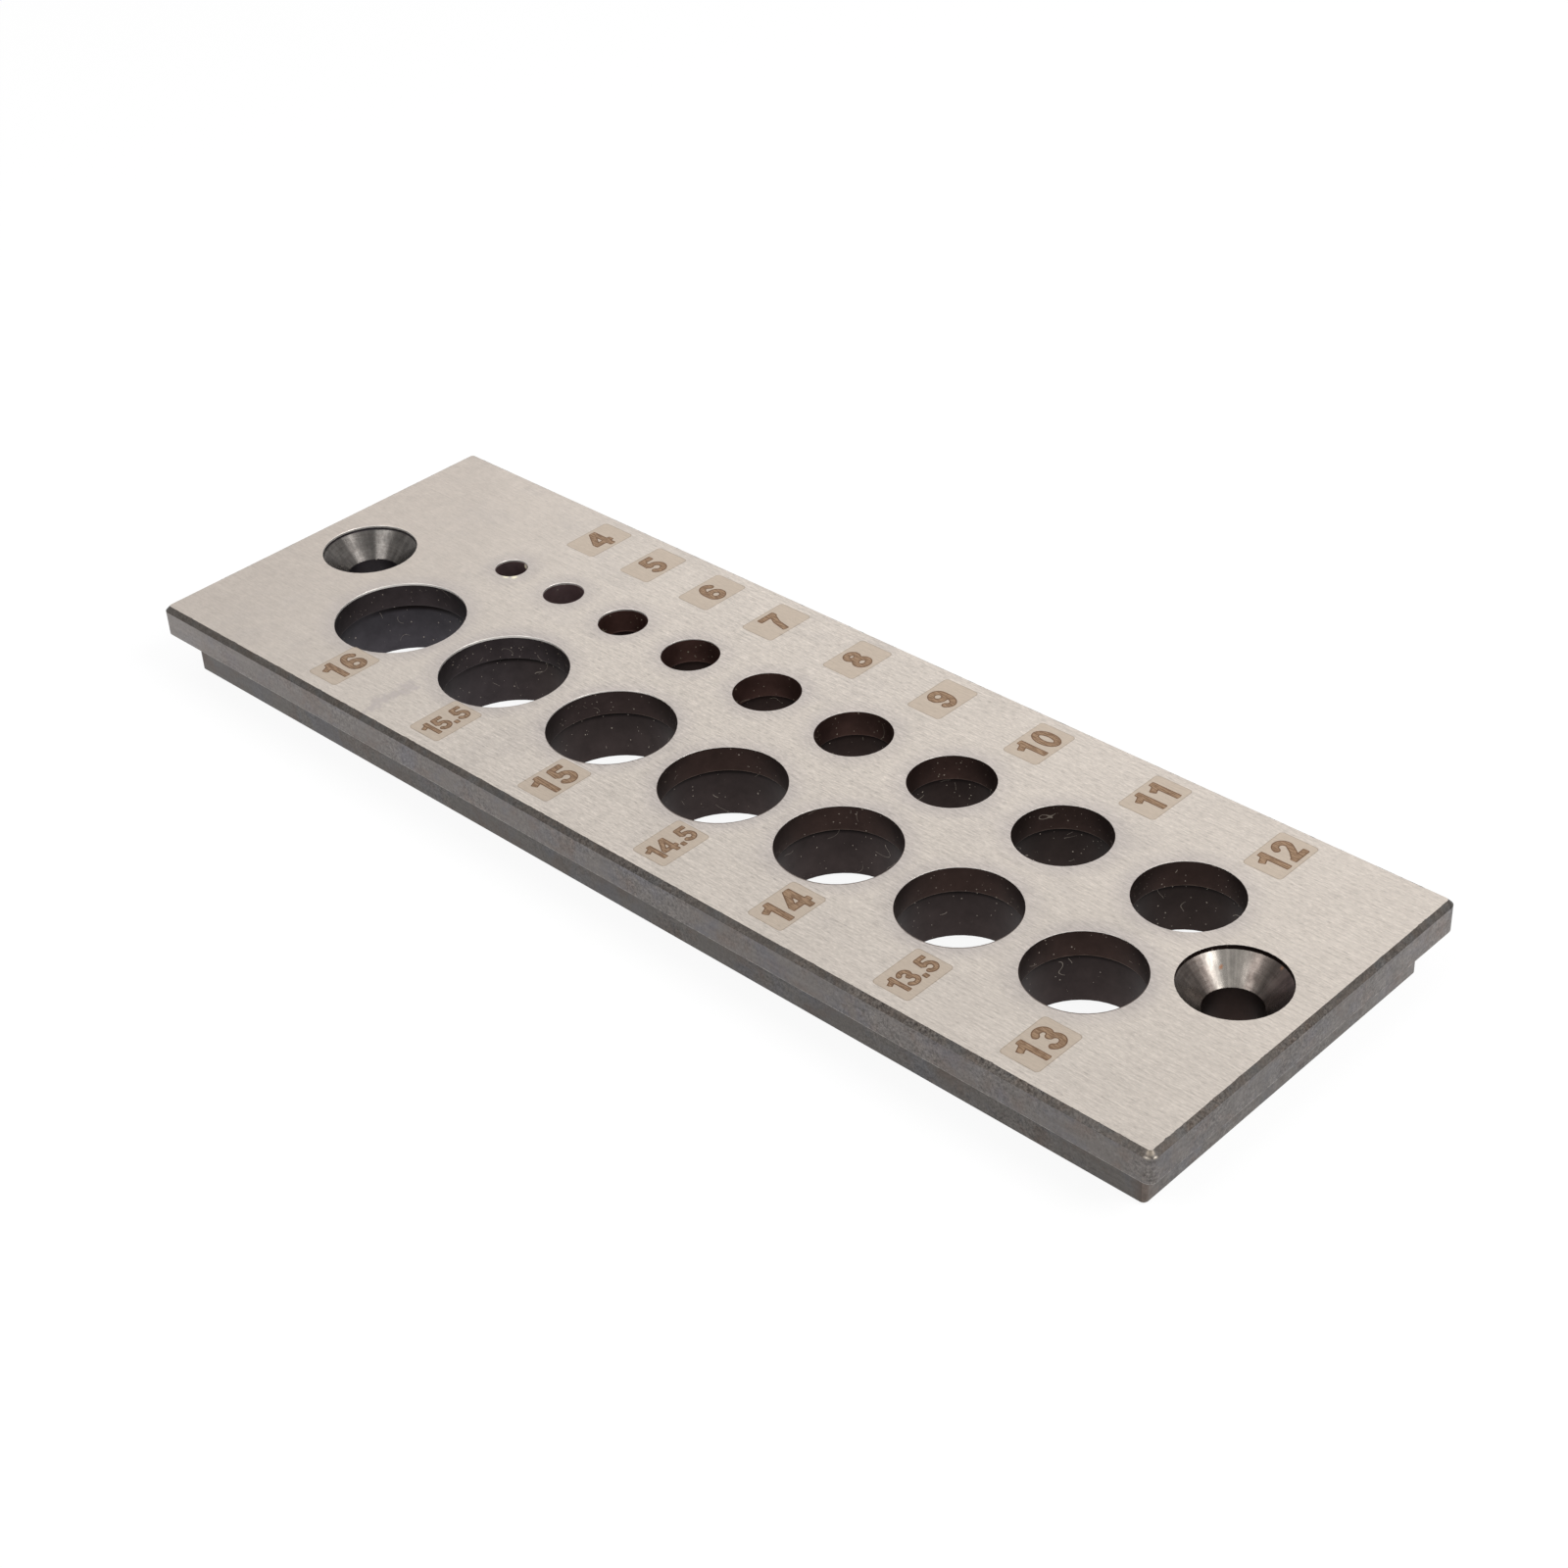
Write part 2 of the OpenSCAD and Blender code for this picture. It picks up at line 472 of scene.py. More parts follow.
# the ground face is a little darker towards the front long edge
darkeningPlan = {"front": 0.92, "back": 1.05}


def darkeningGroup(plan):
    tree, sheet, given, out = newGroup("frontDarkening", [("Place", "vector", None)], [("Tone", "value")])
    deep = sheet.split(given["Place"])[1]
    tone = sheet.ramp(deep, -halfWidth * mm, halfWidth * mm, plan["front"], plan["back"])
    sheet.feed(out["Tone"], tone)
    return tree


# one ragged spot, such as a stain or a worn corner
spotPlan = {"ragged": 0.6, "noise": (900.0, 3.0, 0.65), "edge": (1.0, 0.35)}


def spotGroup(plan):
    tree, sheet, given, out = newGroup(
        "raggedSpot",
        [("Place", "vector", None), ("Middle", "vector", None), ("Reach", "vector", None),
         ("Ragged", "value", plan["ragged"])],
        [("Mask", "value")])
    away = sheet.vector("SUBTRACT", given["Place"], given["Middle"])
    away = sheet.vector("LENGTH", sheet.vector("DIVIDE", away, given["Reach"]))
    rag = sheet.both(sheet.centred(given["Place"], plan["noise"]), given["Ragged"])
    sheet.feed(out["Mask"], sheet.ramp(sheet.total(away, rag), *plan["edge"]))
    return tree


grindLines = grindGroup(grindPlan)
oxideBlotches = blotchGroup(blotchPlan)
woodDust = dustGroup(dustPlan)
plateZones = zoneGroup(zonePlan)
softEdges = edgeGroup(edgePlan)
boreHalos = haloGroup(haloPlan)
turnedRings = ringGroup(ringPlan)
frontDarkening = darkeningGroup(darkeningPlan)
raggedSpot = spotGroup(spotPlan)
print("dowel plate: shared effects made")


def newMaterial(name, kind=NodeSheet):
    material = bpy.data.materials.new(name)
    material.use_nodes = True
    material.node_tree.nodes.clear()
    return material, kind(material.node_tree)


def finishMaterial(sheet, **inputs):
    named = {name.replace("_", " "): value for name, value in inputs.items()}
    steel = sheet.put("ShaderNodeBsdfPrincipled", named)
    sheet.put("ShaderNodeOutputMaterial", {"Surface": steel.outputs[0]})


# single marks of wear: middle and reach in millimetres, and how ragged they are
plateSpots = {
    "smudge": ((-38.3, -20.1, 9.5), (1.5, 4.8, 2.0), 3.6),
    "cornerFront": ((75.6, -25.35, 8.92), (0.55, 0.4, 0.17), 1.2),
    "cornerRight": ((76.15, -24.75, 8.92), (0.35, 0.3, 0.17), 1.2),
    "cornerTip": ((75.6, -24.85, 9.3), (0.5, 0.5, 0.35), 0.8),
    "footCorner": ((73.6, -22.8, 2.6), (1.6, 1.6, 4.2), 1.0),
    "crumbFar": ((-49.0, 10.25, 8.9), (0.45, 0.4, 0.5), 1.4),
    "crumbNear": ((-48.3, 6.35, 9.5), (0.65, 0.4, 0.4), 1.4),
    "crumbRight": ((-47.35, 7.0, 9.5), (0.45, 0.6, 0.4), 1.4),
    "chipLeft": ((63.2, 2.9, 7.65), (0.22, 0.35, 0.4), 1.5),
    "chipRight": ((68.65, 5.5, 8.7), (0.28, 0.3, 0.35), 1.5),
}
# masks that several parts of the plate share
plateMasks = {
    "leftBores": (-8 * mm, -34 * mm),
    "farLeft": (-38 * mm, -76 * mm),
    "raggedNoise": (900.0, 4.0, 0.7),
}


def inMetres(sizes):
    return tuple(side * mm for side in sizes)


class PlateSheet(NodeSheet):
    def __init__(self, tree):
        super().__init__(tree)
        coordinates = self.put("ShaderNodeTexCoord").outputs
        self.place = coordinates["Object"]
        self.facing = coordinates["Normal"]
        self.zones = self.group(plateZones, {"Place": self.place, "Facing": self.facing})
        self.across, self.deep, self.height = self.split(self.place)[:3]
        self.leftBores = self.ramp(self.across, *plateMasks["leftBores"])
        self.farLeft = self.ramp(self.across, *plateMasks["farLeft"])
        self.backRow = self.above(self.deep, 0.0)
        self.ragged = self.noise(self.place, *plateMasks["raggedNoise"])

    def spots(self, *names):
        masks = []
        for name in names:
            middle, reach, ragged = plateSpots[name]
            inputs = {"Place": self.place, "Middle": inMetres(middle), "Reach": inMetres(reach),
                      "Ragged": ragged}
            masks.append(self.group(raggedSpot, inputs)["Mask"])
        return self.most(*masks)

    def oxide(self, look, key, amount, grit):
        colours = {"Base": look[key], "Brown": look[key + "Brown"], "Blue": look[key + "Blue"]}
        sizes = {"Size": look[key + "Blotch"], "Amount": amount, "Grit": grit}
        return self.group(oxideBlotches, {"Place": self.place, **colours, **sizes})


# ground top face, and the underside with it
groundLook = {
    "steel": paint(204, 195, 186),
    "farLeft": paint(195, 185, 176),
    "stain": paint(188, 180, 174),
    "halo": paint(184, 176, 172),
    "smudge": paint(168, 159, 160),
    "rimShade": paint(100, 88, 80),
    "grainLeft": (-60 * mm, -20 * mm, 0.7, 1.6),
    "grainRight": (10 * mm, 60 * mm, 1.0, 0.82),
    "stains": ((75.0, 4.0, 0.65, 0.6), (0.56, 0.74)),
    "stainShare": 0.5,
    "haloPatches": ((160.0, 2.0, 0.5), (0.35, 0.65, 0.45, 0.85)),
    "smudgeLines": (0.4, 0.6, 0.2, 0.65),
    "mottleNoise": (640.0, 3.0, 0.6),
    "mottleSpread": (0.1, 0.25),
    "clouds": ((110.0, 4.0, 0.6), (0.3, 0.7, 0.97, 1.03)),
    "undersideTone": 0.78,
    "shadeShift": (-0.067 * mm, 0.1 * mm, 0.0),
    "shadeEdge": 0.998,
    "shadeShare": 0.85,
}


def groundFace(sheet, look):
    place = sheet.place
    contrast = sheet.both(sheet.ramp(sheet.across, *look["grainLeft"]),
                          sheet.ramp(sheet.across, *look["grainRight"]))
    lines = sheet.group(grindLines, {"Place": place, "Contrast": contrast})
    ground = sheet.blend(sheet.farLeft, look["steel"], look["farLeft"])
    stain = sheet.patches(place, *look["stains"])
    ground = sheet.blend(sheet.both(stain, look["stainShare"]), ground, look["stain"])
    halo = sheet.group(boreHalos, {"Place": place})["Mask"]
    halo = sheet.both(halo, sheet.patches(place, *look["haloPatches"]))
    ground = sheet.blend(halo, ground, look["halo"])
    smudge = sheet.both(sheet.spots("smudge"), sheet.ramp(lines["Height"], *look["smudgeLines"]))
    ground = sheet.blend(smudge, ground, look["smudge"])
    mottle = sheet.both(sheet.centred(place, look["mottleNoise"]),
                        sheet.between(sheet.farLeft, *look["mottleSpread"]))
    cloud = sheet.patches(place, *look["clouds"])
    darkened = sheet.group(frontDarkening, {"Place": place})["Tone"]
    under = sheet.between(sheet.zones["Underside"], 1.0, look["undersideTone"])
    tone = sheet.both(lines["Tone"], cloud, darkened, under, sheet.total(mottle, 1.0))
    ground = sheet.toned(ground, tone)

    # thin shaded edge on the near side of the front row's rims
    nearer = sheet.vector("ADD", place, look["shadeShift"])
    shade = sheet.above(sheet.group(boreHalos, {"Place": nearer})["Mask"], look["shadeEdge"])
    shade = sheet.both(shade, sheet.rest(sheet.backRow), sheet.rest(sheet.leftBores), look["shadeShare"])
    return sheet.blend(shade, ground, look["rimShade"]), lines["Height"]


# bevel, flange and body
sideLook = {
    "bevel": paint(80, 75, 71),
    "bevelBrown": paint(74, 64, 57),
    "bevelBlue": paint(78, 78, 78),
    "bevelBlotch": 2.0,
    "bevelAmount": 0.6,
    "bevelGrit": (-30 * mm, 30 * mm, 1.3, 2.4),
    "bevelTone": (0.3, 0.7, 0.84, 1.16),
    "bevelWidth": 0.6,
    "nicks": (0.5, 0.75, 0, 0.1 * mm),
    "flange": paint(117, 112, 109),
    "flangeBrown": paint(112, 97, 89),
    "flangeBlue": paint(104, 104, 112),
    "flangeBlotch": 3.0,
    "flangeAmount": (0.45, 0.2),
    "flangeGrit": (1.9, 0.7),
    # the flange's two ramps are a painted reflection, lighter towards the left end
    "flangeSheen": (-60 * mm, 20 * mm, 1.08, 0.9),
    "flangeEndSheen": (-72 * mm, -56 * mm, 1.16, 0.96),
    "wornLip": paint(168, 163, 158),
    "lipWear": (0.4, 0.62, 0.1, 0.75),
    "body": paint(91, 87, 84),
    "bodyBrown": paint(86, 74, 67),
    "bodyBlue": paint(88, 88, 92),
    "bodyBlotch": 3.5,
    "bodyAmount": 0.6,
    "bodyGrit": (1.6, 0.9),
    # painted reflection: the body lighter towards the left end
    "bodySheen": (-70 * mm, -20 * mm, 1.14, 1.02),
    "footShare": 0.6,
    "endTone": (0.3, 0.7, 0.8, 1.2),
    # painted reflection: the right end lighter towards the back
    "endBack": (6 * mm, 22 * mm, 1.0, 1.28),
    # painted light on the right end's body, against the shade under the flange
    "endBody": 1.38,
    "wornTip": paint(136, 126, 114),
    "tipShare": 0.7,
    "wornCorner": paint(140, 133, 124),
}


def outerSides(sheet, look, ground):
    zones, across, deep, ragged = sheet.zones, sheet.across, sheet.deep, sheet.ragged
    bevel = sheet.oxide(look, "bevel", look["bevelAmount"], sheet.ramp(across, *look["bevelGrit"]))
    flange = sheet.oxide(look, "flange", sheet.between(sheet.farLeft, *look["flangeAmount"]),
                         sheet.between(sheet.farLeft, *look["flangeGrit"]))
    body = sheet.oxide(look, "body", look["bodyAmount"], sheet.between(sheet.farLeft, *look["bodyGrit"]))
    gapX = sheet.calc("SUBTRACT", (halfLength - look["bevelWidth"]) * mm, sheet.size(across))
    gapY = sheet.calc("SUBTRACT", (halfWidth - look["bevelWidth"]) * mm, sheet.size(deep))
    nicked = sheet.below(sheet.calc("MINIMUM", gapX, gapY), sheet.ramp(ragged, *look["nicks"]))
    # painted reflection: the flange lighter towards the left end
    flangeSheen = sheet.both(sheet.ramp(across, *look["flangeSheen"]), sheet.ramp(across, *look["flangeEndSheen"]))
    flangeColour = sheet.toned(flange["Colour"], flangeSheen)
    lip = sheet.both(zones["Lip"], sheet.ramp(ragged, *look["lipWear"]))
    flangeColour = sheet.blend(lip, flangeColour, look["wornLip"])
    # painted reflection: the body lighter towards the left end
    bodyColour = sheet.toned(body["Colour"], sheet.ramp(across, *look["bodySheen"]))
    foot = sheet.both(sheet.spots("footCorner"), look["footShare"])
    bodyColour = sheet.blend(foot, bodyColour, look["bodyBrown"])
    bevelColour = sheet.toned(bevel["Colour"], sheet.ramp(ragged, *look["bevelTone"]))
    colour = sheet.blend(nicked, ground, bevel["Colour"])
    colour = sheet.blend(zones["Bevel"], colour, bevelColour)
    colour = sheet.blend(zones["Flange"], colour, flangeColour)
    colour = sheet.blend(zones["Body"], colour, bodyColour)

    # painted light: the right end is lighter towards the back, a painted reflection, with random tone over
    # it; its body is lighter still, painted against the shade under the flange
    endTone = sheet.both(sheet.ramp(ragged, *look["endTone"]), sheet.ramp(deep, *look["endBack"]))
    endSide = sheet.both(zones["RightEnd"], sheet.total(zones["Flange"], zones["Body"]))
    colour = sheet.toned(colour, sheet.between(endSide, 1.0, endTone))
    endBody = sheet.both(zones["RightEnd"], zones["Body"])
    colour = sheet.toned(colour, sheet.between(endBody, 1.0, look["endBody"]))
    tip = sheet.both(sheet.spots("cornerTip"), sheet.rest(zones["Top"]), look["tipShare"])
    colour = sheet.blend(tip, colour, look["wornTip"])
    colour = sheet.blend(sheet.spots("cornerFront", "cornerRight"), colour, look["wornCorner"])
    return colour, flange["Height"]


# bores: sizing land above, wider relief below
boreLook = {
    "relief": paint(55, 47, 46),
    "reliefBlue": paint(62, 59, 63),
    "reliefBack": paint(47, 39, 37),
    "blueReliefs": (-34 * mm, -50 * mm),
    # painted shade and light: the relief darker under the land, lighter towards the bottom
    "reliefTone": ((landFoot - 0.9) * mm, 1.0 * mm, 0.86, 1.12),
    # painted shadow under the land's lower edge
    "landShadow": paint(18, 13, 13),
    "landShadowBand": ((landFoot - 0.9) * mm, (landFoot - 0.45) * mm),
    "towardBack": (0.559, -0.829, 0.0),
    "atBack": (0.6, 0.95, 0.3, 1.0),
    "land": paint(60, 46, 42),
    "landBlue": paint(60, 53, 54),
    "landEdge": paint(80, 66, 60),
    "landLine": (0.3, 0.7, (landFoot + 0.02) * mm, (landFoot + 0.16) * mm),
    # painted light: these lighten the small back-row bores' walls against the shade deep in them
    "smallBore": paint(104, 76, 69),
    "smallBores": (32 * mm, -30 * mm),
    "smallRelief": 0.15,
    "tinyBore": paint(137, 115, 116),
    "tinyBores": (-33 * mm, -37 * mm),
    "screwWall": paint(50, 39, 36),
    "screwWallLeft": paint(79, 74, 77),
    "screwReach": 4.0,
    "smears": ((420.0, 4.0, 0.65), (0.3, 0.7, 0.8, 1.22)),
    "dust": paint(190, 178, 164),
    "crumb": paint(236, 228, 200),
    "fineShift": (0.013, 0.027, 0.019),
    "fineSpacing": 0.5,
    "fineRadius": 0.065,
    "fineLeast": 0.45,
    "fineShare": (0.35, 0.9),
    "fineSmall": (0.6, 1.0),
    # a pale lip at the bores' tops, brightened to near white as a painted highlight
    "rimLipAndHighlight": paint(238, 233, 227),
    "rimFoot": ((topFace - 0.08) * mm, (topFace - 0.3) * mm),
}


def boreWalls(sheet, look):
    place, across, height = sheet.place, sheet.across, sheet.height
    zones, leftBores = sheet.zones, sheet.leftBores
    # painted light: the walls of the small back-row bores are lighter, the two smallest most, against the
    # shade deep in these narrow bores
    small = sheet.both(sheet.backRow, sheet.ramp(across, *look["smallBores"]))
    tiny = sheet.both(sheet.backRow, sheet.ramp(across, *look["tinyBores"]))
    relief = sheet.blend(sheet.ramp(across, *look["blueReliefs"]), look["relief"], look["reliefBlue"])
    relief = sheet.blend(sheet.backRow, relief, look["reliefBack"])
    # painted shade and light: the relief is darker up under the land and lighter towards the bottom, where
    # the floor throws light up
    relief = sheet.toned(relief, sheet.ramp(height, *look["reliefTone"]))
    # painted shadow: a dark band just under the land's lower edge, fading downwards; in the left bores only
    # on the walls at the back
    atBack = sheet.vector("DOT_PRODUCT", sheet.facing, look["towardBack"])
    atBack = sheet.ramp(atBack, *look["atBack"])
    landShadow = sheet.both(sheet.ramp(height, *look["landShadowBand"]),
                       sheet.total(sheet.both(leftBores, atBack), sheet.rest(leftBores)))
    relief = sheet.blend(landShadow, relief, look["landShadow"])
    relief = sheet.blend(sheet.both(small, look["smallRelief"]), relief, look["smallBore"])

    landLine = sheet.below(height, sheet.ramp(sheet.ragged, *look["landLine"]))
    land = sheet.blend(leftBores, look["land"], look["landBlue"])
    land = sheet.blend(sheet.both(landLine, sheet.rest(leftBores)), land, look["landEdge"])
    land = sheet.blend(small, land, look["smallBore"])
    land = sheet.blend(tiny, land, look["tinyBore"])
    wall = sheet.blend(zones["Land"], relief, land)
    screwWall = sheet.blend(leftBores, look["screwWall"], look["screwWallLeft"])
    screws = sheet.above(sheet.size(across), (screwPlace - look["screwReach"]) * mm)
    wall = sheet.blend(screws, wall, screwWall)
    wall = sheet.toned(wall, sheet.patches(place, *look["smears"]))

    # coarse dust, and finer dust that gathers on the lands
    coarse = sheet.group(woodDust, {"Place": place})["Mask"]
    fine = sheet.group(woodDust, {
        "Place": sheet.vector("ADD", place, look["fineShift"]), "Spacing": look["fineSpacing"],
        "Radius": look["fineRadius"], "Share": sheet.between(zones["Land"], *look["fineShare"]),
        "Least": look["fineLeast"]})["Mask"]
    fine = sheet.both(fine, sheet.between(small, *look["fineSmall"]), sheet.rest(tiny))
    dust = sheet.both(zones["Wall"], sheet.most(coarse, fine))
    # painted light: the dust in the small bores takes the paler crumb colour, where little light reaches
    wall = sheet.blend(dust, wall, sheet.blend(small, look["dust"], look["crumb"]))
    # a pale lip at the top of the bores' walls, and a painted highlight: near white, and deeper on the left
    # bores where their rims catch the light
    rim = sheet.above(height, sheet.between(leftBores, *look["rimFoot"]))
    return sheet.blend(rim, wall, look["rimLipAndHighlight"]), dust


# countersinks
coneLook = {
    "cone": paint(70, 63, 59),
    "coneBright": paint(82, 76, 72),
    "bright": (0.35, 0.75),
    "coneShaded": paint(66, 55, 53),
    "shadedSide": (0.5 * mm, 3.5 * mm),
    "coneGlint": paint(131, 126, 120),
    "glintToward": (-0.695, 0.719, 0.0),
    "coneCool": paint(238, 248, 253),
    "coolTone": (2.8 * mm, 1.4 * mm, 1.16, 1.42),
    "rust": paint(122, 92, 74),
    "streakScale": (1.0, 1.0, 0.3),
    "streakNoise": (1000.0, 3.0, 0.65),
    "streakTone": (0.3, 0.7, 0.72, 1.3),
    "streakGloss": (0.3, 0.7, 0.1, 0.2),
    "chatter": (0.4, 0.6),
    "chatterTone": (0.84, 1.2),
}


def coneFaces(sheet, look):
    across, leftBores = sheet.across, sheet.leftBores
    rings = sheet.group(turnedRings, {"Place": sheet.place, "Toward": look["glintToward"]})
    cone = sheet.blend(sheet.ramp(rings["Tone"], *look["bright"]), look["cone"], look["coneBright"])
    aside = sheet.calc("SUBTRACT", sheet.size(across), screwPlace * mm)
    shaded = sheet.both(sheet.above(across, 0.0), sheet.ramp(aside, *look["shadedSide"]))
    cone = sheet.blend(shaded, cone, look["coneShaded"])
    glint = sheet.both(rings["Sector"], sheet.ramp(across, -halfLength * mm, halfLength * mm))
    cone = sheet.blend(glint, cone, look["coneGlint"])
    cooler = sheet.blend(1.0, cone, look["coneCool"], "MULTIPLY")
    cooler = sheet.toned(cooler, sheet.ramp(sheet.deep, *look["coolTone"]))
    cone = sheet.blend(leftBores, cone, cooler)
    streaks = sheet.noise(sheet.scaled(sheet.place, look["streakScale"]), *look["streakNoise"])
    chatter = sheet.ramp(rings["Chatter"], *look["chatter"])
    cone = sheet.toned(cone, sheet.both(sheet.ramp(streaks, *look["streakTone"]),
                                        sheet.between(chatter, *look["chatterTone"])))
    cone = sheet.blend(sheet.spots("chipLeft", "chipRight"), cone, look["rust"])
    return cone, rings["Height"], sheet.ramp(streaks, *look["streakGloss"])


plateFinish = {
    "rough": 0.42,
    "metallic": 0.92,
    "ringRelief": 0.2,
    "bumpStrength": 0.6,
    "bumpDistance": 0.02,  # millimetres
    "edgeRadius": (0.07, 0.2),
}


def plateMaterial(finish):
    material, sheet = newMaterial("hardenedSteel", PlateSheet)
    zones = sheet.zones
    ground, lineHeight = groundFace(sheet, groundLook)
    colour, gritHeight = outerSides(sheet, sideLook, ground)
    wall, dust = boreWalls(sheet, boreLook)
    cone, ringHeight, gloss = coneFaces(sheet, coneLook)
    colour = sheet.blend(zones["Wall"], colour, wall)
    colour = sheet.blend(zones["Cone"], colour, cone)
    crumbs = sheet.spots("crumbNear", "crumbRight", "crumbFar")
    colour = sheet.blend(crumbs, colour, boreLook["crumb"])

    rough = sheet.calc("SUBTRACT", finish["rough"], sheet.both(zones["Cone"], gloss))
    metal = sheet.between(sheet.most(dust, crumbs), finish["metallic"], 0.0)
    sides = sheet.total(zones["Flange"], zones["Body"], zones["Bevel"])
    relief = sheet.total(sheet.both(lineHeight, zones["Top"]),
                         sheet.both(ringHeight, zones["Cone"], finish["ringRelief"]),
                         sheet.both(gritHeight, sides))
    edgeRadius = sheet.between(sheet.leftBores, *finish["edgeRadius"])
    edges = sheet.group(softEdges, {"Radius": edgeRadius})["Normal"]
    bump = sheet.put("ShaderNodeBump", {
        "Strength": finish["bumpStrength"], "Distance": finish["bumpDistance"] * mm,
        "Height": relief, "Normal": edges}).outputs[0]
    finishMaterial(sheet, Base_Color=colour, Roughness=rough, Metallic=metal, Normal=bump)
    return material


plate.material_slots[0].material = plateMaterial(plateFinish)
print("dowel plate: steel finished")


# size marks: plain numbers burnt into pale brown patches
markPlan = {
    "patchSize": (4.95, 7.1),
    "patchCorner": 0.5,
    "rimWidth": 0.1,
    "edgeWidth": 0.13,
    "patchLift": 0.008,
    "burnLift": 0.016,
    "slab": 0.03,
    "backInset": 5.45,  # from the plate's long edges to the middles of the marks
    "frontInset": 5.78,
    "wholeHeight": 3.86,
    "wholeGap": 0.18,
    "halfHeight": 2.82,
    "halfGap": 0.045,
    # how far the middle of each mark lies past the middle of its bore, towards the right
    "past": {
        "4": 3.5, "5": 3.75, "6": 3.5, "7": 2.8, "8": 3.4, "9": 3.05, "10": 2.7, "11": 3.3, "12": 3.15,
        "13": 3.8, "13.5": 3.7, "14": 3.2, "14.5": 3.45, "15": 2.85, "15.5": 2.8, "16": 3.3,
    },
    # colour, grain, roughness and metal of the patch, its rim, and the burn's edge and core
    "finishes": {
        "tintedSteel": (paint(191, 177, 162), 0.6, 0.45, 0.9),
        "tintedRim": (paint(172, 159, 145), 1.2, 0.5, 0.85),
        "burntEdge": (paint(106, 79, 57), 1.2, 0.6, 0.4),
        "burntCore": (paint(154, 127, 101), 0.6, 0.55, 0.5),
    },
    "hatched": "burntCore",
    "hatchColour": paint(117, 90, 67),
    "hatchTurn": 35,  # degrees
    "hatchScale": (900.0, 6500.0, 1.0),
    "hatching": ((1.0, 2.0, 0.6), (0.42, 0.58)),
    "bumpStrength": 0.4,
    "bumpDistance": 0.02,
}
patchSlot, rimSlot, edgeSlot, coreSlot = range(4)  # in the order of the finishes


def markMaterial(plan, name):
    colour, contrast, rough, metallic = plan["finishes"][name]
    material, sheet = newMaterial(name)
    place = sheet.put("ShaderNodeTexCoord").outputs["Object"]
    if name == plan["hatched"]:
        turned = sheet.turned(place, plan["hatchTurn"], plan["hatchScale"])
        colour = sheet.blend(sheet.patches(turned, *plan["hatching"]), colour, plan["hatchColour"])
    lines = sheet.group(grindLines, {"Place": place, "Contrast": contrast})
    tone = sheet.both(lines["Tone"], sheet.group(frontDarkening, {"Place": place})["Tone"])
    bump = sheet.put("ShaderNodeBump", {
        "Strength": plan["bumpStrength"], "Distance": plan["bumpDistance"] * mm,
        "Height": lines["Height"]}).outputs[0]
    finishMaterial(sheet, Base_Color=sheet.toned(colour, tone), Roughness=rough, Metallic=metallic,
                   Normal=bump)
    return material


def bend(middle, reach, start, end, steps=20):
    angles = [math.radians(start + (end - start) * i / steps) for i in range(steps + 1)]
    return [(middle[0] + reach[0] * math.cos(a), middle[1] + reach[1] * math.sin(a)) for a in angles]


# each figure's width and the middle lines of its strokes; a figure is 1 high
strokeHalf = 0.113  # half the stroke's width
sixStrokes = [bend((0.33, 0.315), (0.217, 0.205), 0, 360),
              bend((0.36, 0.50), (0.247, 0.387), 38, 180) + [(0.113, 0.32)]]
figures = {
    "0": (0.66, [bend((0.33, 0.5), (0.217, 0.387), 0, 360)]),
    "1": (0.47, [[(0.357, 0), (0.357, 1)], [(0.39, 0.93), (0.29, 0.79), (0.04, 0.69)]]),
    "2": (0.66, [bend((0.335, 0.672), (0.21, 0.215), 172, -22) + [(0.37, 0.36), (0.12, 0.12)],
                 [(0.02, 0.113), (0.65, 0.113)]]),
    "3": (0.66, [bend((0.315, 0.71), (0.2, 0.177), 165, -90), bend((0.32, 0.317), (0.227, 0.204), 90, -165)]),
    "4": (0.72, [[(0.47, 0.96), (0.07, 0.33)], [(0.0, 0.30), (0.72, 0.30)], [(0.51, 0), (0.51, 1)]]),
    "5": (0.66, [[(0.14, 0.887), (0.61, 0.887)], [(0.20, 0.95), (0.15, 0.50)],
                 bend((0.325, 0.335), (0.222, 0.222), 138, -162)]),
    "6": (0.66, sixStrokes),
    "7": (0.68, [[(0.0, 0.887), (0.67, 0.887)], [(0.56, 0.88), (0.36, 0.5), (0.26, 0.0)]]),
    "8": (0.66, [bend((0.33, 0.73), (0.185, 0.157), 0, 360), bend((0.33, 0.3), (0.217, 0.187), 0, 360)]),
    "9": (0.66, [[(0.66 - x, 1 - y) for x, y in stroke] for stroke in sixStrokes]),
    ".": (0.22, [[(0.11, 0), (0.11, 0.22)]]),
}


# how far each point of a grid lies outside a stroke with flat ends
def strokeField(stroke, across, up):
    field = np.full(across.shape, np.inf)
    last = len(stroke) - 2
    for index, (start, end) in enumerate(zip(stroke, stroke[1:])):
        stepX, stepY = end[0] - start[0], end[1] - start[1]
        length = math.hypot(stepX, stepY)
        along = ((across - start[0]) * stepX + (up - start[1]) * stepY) / length
        aside = np.abs((across - start[0]) * stepY - (up - start[1]) * stepX) / length
        beyond = np.maximum(-along, along - length)
        near = np.hypot(np.maximum(beyond, 0), aside) - strokeHalf
        flatEnd = np.maximum(beyond, aside - strokeHalf)
        square = ((index == 0) & (along < 0)) | ((index == last) & (along > length))
        field = np.minimum(field, np.where(square, flatEnd, near))
    return field


